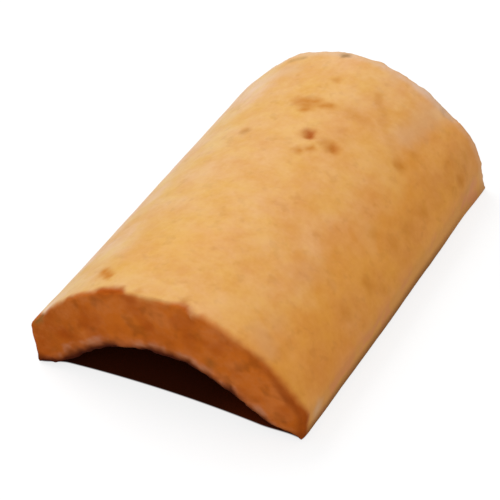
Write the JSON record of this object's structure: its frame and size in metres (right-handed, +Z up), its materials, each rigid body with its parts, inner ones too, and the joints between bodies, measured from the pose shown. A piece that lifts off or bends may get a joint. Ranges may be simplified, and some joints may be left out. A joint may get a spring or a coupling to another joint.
{
  "type": "clay barrel roof tile",
  "caption": "Short thick-walled barrel roof tile of unglazed fired clay: an arched back on two narrow feet, with square-cut ends and a half-round channel beneath.",
  "frame": {"origin": "on the floor, under the middle of the crown, halfway along the tile", "axes": "+X across the tile, +Y along the barrel from the front cut end to the back one, +Z up"},
  "size_m": [0.1356, 0.2, 0.057],
  "materials": {
    "fired_clay": "matte unglazed terracotta, buff orange on the back and redder on the cut ends"
  },
  "bodies": {
    "root": {"tile": "fired_clay"}
  },
  "joints": []
}
